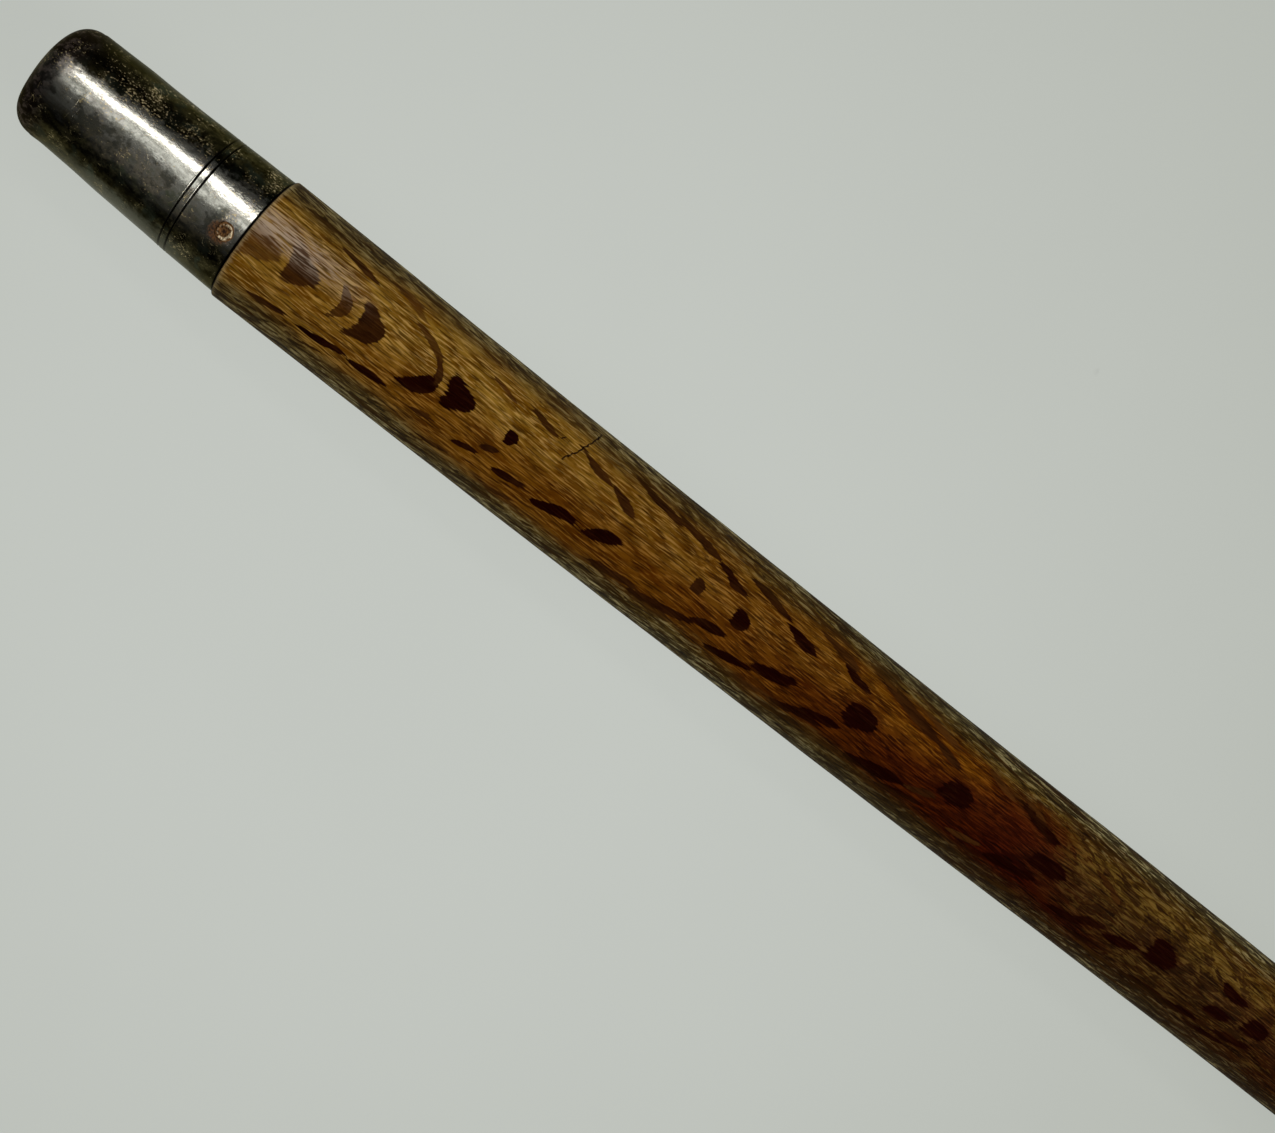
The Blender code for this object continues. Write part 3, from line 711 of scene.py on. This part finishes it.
def nib_material():
    """Polished steel, blued to straw and purple where it was tempered, with dried ink near the point."""
    t = Paint("nib_steel")
    draw = t.noise(t.scaled(t.space, (0.3, 2.5, 2.5)), 3.0, 3.0, 0.6)
    cloud = t.noise(t.space, 0.6, 4.0, 0.6)
    temper = t.x + cloud * 6.0
    base = t.blend(t.span(temper, MOUTH + 3.0, MOUTH + 9.0), (0.33, 0.325, 0.32), (0.36, 0.285, 0.18))
    base = t.blend(t.span(temper, MOUTH + 9.0, MOUTH + 14.0), base, (0.17, 0.125, 0.19))
    base = t.blend(t.span(temper, MOUTH + 14.0, MOUTH + 19.0), base, (0.16, 0.18, 0.25))
    ink = t.span(t.x + cloud * 9.0, MOUTH + 18.5, MOUTH + 22.0)
    t.set("Base Color", t.blend(ink * 0.8, base, (0.015, 0.015, 0.022)))
    t.set("Metallic", 1.0 - ink * 0.6)
    t.set("Roughness", t.span(draw, 0.3, 0.7, 0.18, 0.30) + ink * 0.2)
    t.set("Normal", t.bump(draw, 0.000008))
    return t.material


# -------- pieces


def make_wood(material):
    """The visible shaft with short hidden stubs, finely divided so that the figure has sharp edges."""
    taper = (WOOD_FRONT_RADIUS - WOOD_BUTT_RADIUS) / WOOD_FRONT
    butt_stub = CAP_RIM_RADIUS - STUB_DROP
    front_stub = FERRULE_RIM_RADIUS - STUB_DROP
    outline = [(-STUB_LENGTH, 0.0), (-STUB_LENGTH, butt_stub), (0.0, butt_stub)]
    outline += arc((SHOULDER, WOOD_BUTT_RADIUS - SHOULDER), SHOULDER, 180.0, 90.0, 5)
    sides = run(SHOULDER + 0.1, WOOD_FRONT - SHOULDER - 0.1, 0.21)
    outline += [(d, WOOD_BUTT_RADIUS + taper * d) for d in sides]
    outline += arc((WOOD_FRONT - SHOULDER, WOOD_FRONT_RADIUS - SHOULDER), SHOULDER, 90.0, 0.0, 5)
    front_end = WOOD_FRONT + STUB_LENGTH
    outline += [(WOOD_FRONT, front_stub), (front_end, front_stub), (front_end, 0.0)]
    uneven = ripples(3, 12, 0.010, 40.0, 6.0, WOOD_BUTT_RADIUS)
    mesh = turned("shaft", outline, WOOD_SIDES, uneven, bent=True)
    paint_figure(mesh)
    place("shaft", mesh, material, "holder", "wood_shaft")


def cap_radius(distance_from_rim):
    return CAP_RIM_RADIUS - CAP_TAPER * distance_from_rim / CAP_LENGTH


def cap_shape(distance, degrees):
    """Slight ripples, and a squarer corner on the side where the end has been knocked."""
    near_end = np.clip(1.0 - (distance - CAP_END) / KNOCK_LENGTH, 0.0, 1.0)
    knocked = near_end * np.exp(-((degrees - KNOCK_DEGREES) / KNOCK_SPREAD) ** 2)
    return ripples(8, 14, 0.020, 16.0, 3.0, CAP_RIM_RADIUS)(distance, degrees) + KNOCK_HEIGHT * knocked


def make_cap(material):
    """The spun butt cap: rounded end, engraved lines, slightly out of round, and open at the rim."""
    rim = -JOINT_GAP
    flat = CAP_RIM_RADIUS - CAP_TAPER - CAP_CORNER
    outline = [(CAP_END, 0.0)]
    outline += [(CAP_END + CAP_CROWN * (r / flat) ** 2, r) for r in run(0.4, flat - 0.1, 0.35)]
    outline += arc((CAP_END + CAP_CROWN + CAP_CORNER, flat), CAP_CORNER, 180.0, 92.0, 16)
    distances = engraved_run(CAP_LENGTH - CAP_CORNER - 0.15)[::-1]
    radii = cap_radius(distances) + engraved(distances)
    outline += [(rim - d, r) for d, r in zip(distances[:-1], radii[:-1])]
    outline += arc((rim - METAL_EDGE, CAP_RIM_RADIUS - METAL_EDGE), METAL_EDGE, 90.0, 0.0, 3)
    outline += [(rim, CAP_RIM_RADIUS - CAP_WALL)]
    outline += [(rim - d, cap_radius(d) - CAP_WALL) for d in run(1.0, CAP_LENGTH - CAP_CORNER, 2.0)]
    outline += [(CAP_END + CAP_END_WALL, flat), (CAP_END + CAP_END_WALL, 0.0)]
    mesh = turned("cap", outline, CAP_SIDES, cap_shape, bent=True)
    place("cap", mesh, material, "holder", "butt_cap")


def make_ferrule(material):
    """The open nib ferrule, made to match the cap."""
    length = MOUTH - FERRULE_RIM
    slope = (FERRULE_MOUTH_RADIUS - FERRULE_RIM_RADIUS) / length
    distances = engraved_run(length - 0.15)
    radii = FERRULE_RIM_RADIUS + slope * distances + engraved(distances)
    bore = FERRULE_MOUTH_RADIUS - FERRULE_WALL
    outline = arc((FERRULE_RIM + METAL_EDGE, FERRULE_RIM_RADIUS - METAL_EDGE), METAL_EDGE, 180.0, 90.0, 3)
    outline += [(FERRULE_RIM + d, r) for d, r in zip(distances[1:], radii[1:])]
    rounding = MOUTH_ROUNDING
    outline += arc((MOUTH - rounding, FERRULE_MOUTH_RADIUS - rounding), rounding, 80.0, 0.0, 5)
    outline += [(MOUTH, bore + 0.03), (MOUTH - 0.05, bore)]
    outline += [(MOUTH - d, bore - slope * d) for d in run(1.0, length, 2.3)]
    uneven = ripples(21, 12, 0.006, 16.0, 3.0, FERRULE_RIM_RADIUS)
    mesh = turned("ferrule", outline, FERRULE_SIDES, uneven)
    place("ferrule", mesh, material, "holder", "nib_ferrule")


def make_cup(material):
    """The socket cup inside the ferrule, with a slightly flared lip."""
    floor = along(cup_low.x) + CUP_FLOOR
    front = along(cup_high.x)
    inner = CUP_RADIUS - CUP_WALL
    back = floor - CUP_FLOOR
    outline = [(back, 0.0), (back, CUP_RADIUS - 0.1), (back + 0.1, CUP_RADIUS)]
    outline += [(d, CUP_RADIUS) for d in run(floor, front - 0.1, 1.5)]
    outline += arc((front - CUP_WALL / 2, CUP_RADIUS - CUP_WALL / 2), CUP_WALL / 2, 90.0, -90.0, 8)
    outline += [(d, inner) for d in run(front - 0.5, floor + 0.2, 1.5)]
    outline += [(floor + 0.06, inner - 0.05), (floor, inner - 0.2), (floor, 0.0)]
    mesh = turned("socket_cup", outline, CUP_SIDES)
    place("socket_cup", mesh, material, "holder", "nib_socket_cup")


def make_pin_head(name, material, node, distance, seat_radius, seed):
    """The low, rust-eaten head of an iron pin, raised at its rim and pitted in its middle."""
    random = np.random.RandomState(seed)
    rough = ripples(seed, 16, 0.10, 1.6, 0.3, 0.5)
    rings = 22
    sway = [random.uniform(-0.03, 0.03) for _ in range(5)]
    points = [(0.0, 0.0, 0.0)]
    shares = [(0.0, 0.0, 0.0)]
    for ring in range(rings + 1):
        share = ring / rings
        for step in range(PIN_SIDES):
            angle = 2 * math.pi * step / PIN_SIDES
            uneven = 1.0 + sum(s * math.cos((k + 2) * angle + 9 * s) for k, s in enumerate(sway))
            x = PIN_RADIUS * uneven * share * math.cos(angle)
            y = PIN_RADIUS * uneven * share * math.sin(angle)
            bowl = 0.05 + 0.07 * math.exp(-((share - 0.72) / 0.2) ** 2) - 3.2 * max(0.0, share - 0.8) ** 2
            pits = 0.22 * float(rough(np.array([3.0 * x]), np.array([math.degrees(4.0 * y)]))[0])
            points.append((x, y, bowl + pits * (1.0 - share ** 6)))
            shares.append((share, share * math.cos(angle), 0.0))
    edge = 1 + rings * PIN_SIDES
    base = len(points)
    points += [(x, y, -PIN_SEAT) for x, y, _ in points[edge:]]
    points.append((0.0, 0.0, -PIN_SEAT))
    shares += [(1.0, 0.0, 0.0)] * (PIN_SIDES + 1)
    faces = []
    for step in range(PIN_SIDES):
        after = (step + 1) % PIN_SIDES
        faces.append((0, 1 + step, 1 + after))
        for first in range(1, edge, PIN_SIDES):
            faces.append((first + step, first + PIN_SIDES + step, first + PIN_SIDES + after, first + after))
        faces.append((edge + step, base + step, base + after, edge + after))
        faces.append((base + step, base + PIN_SIDES, base + after))
    aside = -bow(distance) if distance < WOOD_FRONT else 0.0
    placed = Matrix.Translation((distance, aside, 0)) @ Matrix.Rotation(math.radians(PIN_ANGLE), 4, "X")
    placed = placed @ Matrix.Translation((0, 0, seat_radius))
    mesh = mesh_from(name, [placed @ Vector(point) for point in points], faces)
    store(mesh, "head", shares)
    place(name, mesh, material, "holder", node)


def petal_rows(path, across):
    """One petal's points: an outer and an inner row across it for each (along, radius) of its path."""
    points = []
    for index, (distance, radius) in enumerate(path):
        share = index / (len(path) - 1)
        before, ahead = path[max(index - 1, 0)], path[min(index + 1, len(path) - 1)]
        travel = Vector((ahead[0] - before[0], ahead[1] - before[1])).normalized()
        back = Vector((-travel.y, travel.x)) * PETAL_THICKNESS / 2
        half_width = PETAL_HALF_WIDTH - PETAL_TIP_LOSS * max(0.0, share - 0.3) / 0.7
        if radius <= PETAL_HUB:
            half_width = 0.78
        for layer in (1, -1):
            for step in range(across + 1):
                side = half_width * (2 * step / across - 1)
                curl = 0.10 * (side / PETAL_HALF_WIDTH) ** 2 * min(1.0, radius / 2.0)
                points.append(Vector((distance + back.x * layer, side, radius + back.y * layer - curl)))
    return points


def make_clutch(material):
    """The crown of four spring petals, each rolled across its width and bent along its length."""
    middle = PETAL_THICKNESS / 2
    seat = Vector((along(cup_low.x) + CUP_FLOOR + JOINT_GAP, 0.0, 0.0))
    bend = arc((PETAL_BEND, PETAL_BEND + PETAL_HUB), PETAL_BEND - middle, 180.0, 90.0, 8)
    path = [(middle, 0.0), (middle, PETAL_HUB)] + bend + PETAL_LINE
    points, faces = [], []
    across = 8
    row = 2 * (across + 1)
    for quarter in range(4):
        turn = Matrix.Rotation(quarter * math.pi / 2, 3, "X")
        start = len(points)
        points += [seat + turn @ point for point in petal_rows(path, across)]
        for index in range(len(path) - 1):
            a, b = start + index * row, start + (index + 1) * row
            for step in range(across):
                faces.append((a + step, a + step + 1, b + step + 1, b + step))
                low_a, low_b = a + across + 1 + step, b + across + 1 + step
                faces.append((low_a, low_b, low_b + 1, low_a + 1))
            faces.append((a, b, b + across + 1, a + across + 1))
            faces.append((a + across, a + 2 * across + 1, b + 2 * across + 1, b + across))
        for end in (start, start + (len(path) - 1) * row):
            for step in range(across):
                quad = (end + step, end + step + 1, end + across + 2 + step, end + across + 1 + step)
                faces.append(quad if end == start else quad[::-1])
    mesh = mesh_from("clutch", points, faces)
    place("clutch", mesh, material, "holder", "nib_clutch")


def nib_place(distance, angle, depth):
    """A point of the nib, depth under its outer face; the fore part dips and thins a little."""
    share = max(0.0, (distance - NIB_SHOULDER) / (NIB_LENGTH - NIB_SHOULDER))
    radius = NIB_RADIUS - depth * (1.0 - 0.25 * share)
    drop = NIB_DROOP * share ** 2
    return (distance, -radius * math.sin(angle), radius * math.cos(angle) - drop)


def nib_half_arc(distance):
    """Half of the nib's arc, in radians: full at the heel, then drawn in to the point."""
    tip = NIB_TIP_HALF_WIDTH / NIB_RADIUS
    share = max(0.0, (distance - NIB_SHOULDER) / (NIB_LENGTH - NIB_SHOULDER))
    shrink = (1.0 - share + (1.0 + math.cos(share * math.pi)) / 2) / 2
    past_point = max(0.0, (distance - NIB_LENGTH + NIB_TIP_HALF_WIDTH) / NIB_TIP_HALF_WIDTH)
    rounded = math.sqrt(max(0.0, 1.0 - past_point ** 2))
    return (tip + (math.radians(NIB_HALF_ARC) - tip) * shrink) * (0.45 + 0.55 * rounded)


def nib_half_gap(distance):
    """Half of the gap between the nib's two sides: the vent hole, then the slit from there on."""
    from_vent = distance - VENT_POSITION
    hole = math.sqrt(max(0.0, VENT_RADIUS ** 2 - from_vent ** 2))
    slit = SLIT_HALF_WIDTH if from_vent > 0.0 else 0.0
    return max(hole, slit)


def make_nib(material):
    """The slit nib, a smooth arc with a vent hole, as one closed sheet with two tines."""
    heel = along(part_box("nib")[0].x)
    vent = [VENT_POSITION - VENT_RADIUS * math.cos(math.pi * k / 24) for k in range(25)]
    tip = NIB_TIP_HALF_WIDTH
    rows = list(run(0.0, vent[0] - 0.3, 0.5)) + vent + list(run(vent[-1] + 0.3, NIB_LENGTH - tip, 0.35))
    rows += [NIB_LENGTH - tip + tip * math.sin(math.pi / 2 * k / 6) for k in range(1, 7)]
    across = 24
    points, faces = [], []
    index_of = {}

    def corner(row, side, step, layer):
        distance = rows[row]
        gap = nib_half_gap(distance) / NIB_RADIUS
        if gap == 0.0 and step == 0:
            side = 0
        key = (row, side, step, layer)
        if key not in index_of:
            angle = gap + (nib_half_arc(distance) - gap) * step / across
            x, y, z = nib_place(distance, angle * side, layer * NIB_THICKNESS)
            index_of[key] = len(points)
            points.append((heel + x, y, z))
        return index_of[key]

    def face(side, places, flip):
        corners = [corner(row, side, step, layer) for row, step, layer in places]
        faces.append(tuple(corners[::-1] if flip else corners))

    last = len(rows) - 1
    for side in (-1, 1):
        for row in range(last):
            ahead = row + 1
            for step in range(across):
                for layer in (0, 1):
                    quad = [(row, step), (row, step + 1), (ahead, step + 1), (ahead, step)]
                    face(side, [(*spot, layer) for spot in quad], (side > 0) == (layer == 1))
            rim = [(row, across, 0), (row, across, 1), (ahead, across, 1), (ahead, across, 0)]
            face(side, rim, side < 0)
            if nib_half_gap(rows[row]) > 0.0 or nib_half_gap(rows[ahead]) > 0.0:
                face(side, [(row, 0, 0), (ahead, 0, 0), (ahead, 0, 1), (row, 0, 1)], side < 0)
        for row, flip in ((0, side > 0), (last, side < 0)):
            for step in range(across):
                face(side, [(row, step, 0), (row, step + 1, 0), (row, step + 1, 1), (row, step, 1)], flip)
    mesh = mesh_from("pen_nib", points, faces)
    place("pen_nib", mesh, material, "nib", "nib")


cap_pin_x = -JOINT_GAP - PIN_DISTANCE
ferrule_pin_x = FERRULE_RIM + PIN_DISTANCE
rust = rust_material()
make_wood(wood_material())
make_cap(aged_metal("aged_nickel_silver", -JOINT_GAP, CAP_END, cap_pin_x, CAP_RIM_RADIUS))
make_ferrule(aged_metal("aged_nickel_silver_front", FERRULE_RIM, MOUTH, ferrule_pin_x, FERRULE_RIM_RADIUS))
make_cup(plain_steel("tinned_steel", (0.36, 0.35, 0.33), (0.58, 0.57, 0.54), 0.34))
make_clutch(plain_steel("spring_steel", (0.20, 0.20, 0.22), (0.34, 0.34, 0.36), 0.28))
make_nib(nib_material())
make_pin_head("cap_pin", rust, "butt_cap_pin", cap_pin_x, CAP_RIM_RADIUS, 5)
make_pin_head("ferrule_pin", rust, "nib_ferrule_pin", ferrule_pin_x, FERRULE_RIM_RADIUS, 12)

# -------- floor, light and camera

CAMERA_PAST_SHOULDER = 35.5  # millimetres along the pen to where the camera looks
CAMERA_ASIDE = 1.5  # that place is this far towards -Y of the axis
CAMERA_DISTANCE = 141.0
CAMERA_TILT = 5.5  # degrees that the camera leans to the butt end
PEN_SLOPE = 38.2  # degrees that the pen runs down to the right in the picture
LENS = 55.3
FLOOR_HALF_SIZE = 6000.0
FLOOR_LIGHT_POOL = (23.0, -14.0, 0.0)  # centre of the floor's painted pool of light, in pen space


def make_floor():
    """A pale floor with faint specks. Its colour is emitted light, a painted pool of light that falls off
    away from one place, over a dark base colour that keeps the pen's shadow faint.
    """
    t = Paint("pale_floor")
    # Painted pool of light: the emitted colour falls off with distance from one place.
    light_pool_falloff = t.span(t.distance(t.space, FLOOR_LIGHT_POOL), 15.0, 115.0)
    soft = t.blend(light_pool_falloff, (0.512, 0.536, 0.500), (0.405, 0.425, 0.383))
    clouds = (t.noise(t.space, 0.05, 3.0) - 0.5) * 0.07
    soft = t.blend(clouds + 0.03, soft, (0.30, 0.31, 0.29))
    stray = t.vector(t.noise(t.space, 1.1, 3.0), t.noise(t.space, 0.9, 3.0), 0.0)
    ragged = t.moved(t.space, t.scaled(stray, (1.6, 1.6, 0.0)))
    specks = t.span(t.specks(ragged, 0.035), 0.008, 0.022, 1.0, 0.0)
    soft = t.blend(specks * 0.35, soft, (0.16, 0.165, 0.15))
    t.set("Base Color", (0.05, 0.052, 0.05))
    t.set("Roughness", 0.9)
    t.set("Specular IOR Level", 0.0)
    t.set("Emission Color", soft)
    t.set("Emission Strength", 1.0)
    size = FLOOR_HALF_SIZE
    corners = [(-size, -size, 0.0), (size, -size, 0.0), (size, size, 0.0), (-size, size, 0.0)]
    mesh = mesh_from("floor", corners, [(0, 1, 2, 3)])
    mesh.materials.append(t.material)
    floor = add_object("floor", mesh)
    floor.location = (ORIGIN.x, 0.0, 0.0)


def make_light(name, lean, distance, length, width, power, colour):
    """A soft rectangular light that points at the pen; lean is in degrees, to the nib and to +Y."""
    data = bpy.data.lights.new(name, "AREA")
    data.shape = "RECTANGLE"
    data.size = length
    data.size_y = width
    data.energy = power
    data.color = colour
    light = add_object(name, data)
    turn = Matrix.Rotation(math.radians(-lean[1]), 4, "X") @ Matrix.Rotation(math.radians(lean[0]), 4, "Y")
    middle = ORIGIN + Vector((20.0, 0.0, 0.0)) * MM
    light.matrix_world = Matrix.Translation(middle) @ turn @ Matrix.Translation((0.0, 0.0, distance))


def make_world():
    """A dim room: darkest at the horizon, lighter overhead; where only the camera looks, it is pale."""
    world = bpy.data.worlds.new("room")
    bpy.context.scene.world = world
    t = Tree(world)
    height = t.split(t.add("TexCoord", {})[0])[2]
    room = t.blend((height - 0.45) * 2.0, (0.015, 0.016, 0.015), (0.11, 0.112, 0.105))
    seen = t.add("LightPath", {})[0]
    t.put(t.nodes["Background"].inputs[0], t.blend(seen, room, (0.50, 0.53, 0.50)))


def make_camera():
    """Looks down at the butt end of the pen, so that the pen runs down to the right in the picture."""
    data = bpy.data.cameras.new("camera")
    data.lens = LENS
    data.clip_start = 0.005
    camera = add_object("camera", data)
    tilt, slope = math.radians(CAMERA_TILT), math.radians(PEN_SLOPE)
    ahead = Vector((math.sin(tilt), 0.0, -math.cos(tilt)))
    down_pen = Vector((math.cos(tilt), 0.0, math.sin(tilt)))
    across_pen = Vector((0.0, -1.0, 0.0))
    right = down_pen * math.cos(slope) - across_pen * math.sin(slope)
    up = -(down_pen * math.sin(slope) + across_pen * math.cos(slope))
    target = ORIGIN + Vector((CAMERA_PAST_SHOULDER, -CAMERA_ASIDE, 0.0)) * MM
    turn = Matrix((right, up, -ahead)).transposed().to_4x4()
    camera.matrix_world = Matrix.Translation(target - ahead * CAMERA_DISTANCE * MM) @ turn
    bpy.context.scene.camera = camera


make_floor()
make_light("key", (0.0, 28.0), 0.45, 0.55, 0.075, 0.72, (1.0, 0.99, 0.96))
make_light("glow", (0.0, 8.0), 0.6, 0.6, 0.20, 0.34, (0.98, 1.0, 0.97))
make_light("fill", (52.0, -10.0), 0.9, 0.5, 0.5, 5.4, (1.0, 0.985, 0.95))
make_world()
make_camera()
bpy.context.scene.view_settings.view_transform = "Standard"
